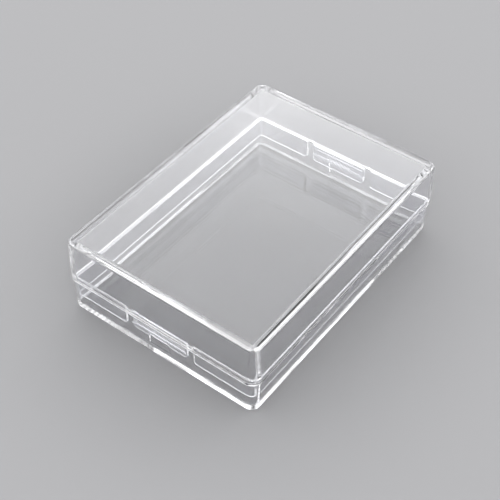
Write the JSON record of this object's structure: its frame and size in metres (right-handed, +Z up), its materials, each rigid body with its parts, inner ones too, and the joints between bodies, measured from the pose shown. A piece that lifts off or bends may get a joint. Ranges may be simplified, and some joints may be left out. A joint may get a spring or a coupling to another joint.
{
  "type": "snap lid storage box",
  "caption": "Clear rectangular snap-lid box for guitar picks: shallow base tray, lift-off lid with an inner tongue, and a springy snap tab at each short end.",
  "frame": {"origin": "centre of the footprint on the flat underside, the face that the box rests on", "axes": "+X along the box's long side, +Y along its short side, +Z up through the lid"},
  "size_m": [0.0908, 0.0656, 0.0253],
  "materials": {
    "clear_tray": "clear polished polystyrene",
    "clear_lid": "clear polished polystyrene"
  },
  "bodies": {
    "base": {"base_tray": "clear_tray"},
    "lid": {"lid": "clear_lid"},
    "left_tab": {"left_snap_tab": "clear_lid"},
    "right_tab": {"right_snap_tab": "clear_lid"}
  },
  "joints": [
    {"name": "lid_lift", "type": "slide", "parent": "base", "child": "lid", "axis": [0, 0, 1], "range_m": [0, 0.04]},
    {"name": "left_tab_flex", "type": "hinge", "parent": "lid", "child": "left_tab", "pos_m": [-0.0431, 0, 0.0113], "axis": [0, -1, 0], "range_deg": [0, 4], "stiffness_Nm_per_rad": 0.5},
    {"name": "right_tab_flex", "type": "hinge", "parent": "lid", "child": "right_tab", "pos_m": [0.0431, 0, 0.0113], "axis": [0, 1, 0], "range_deg": [0, 4], "stiffness_Nm_per_rad": 0.5}
  ]
}
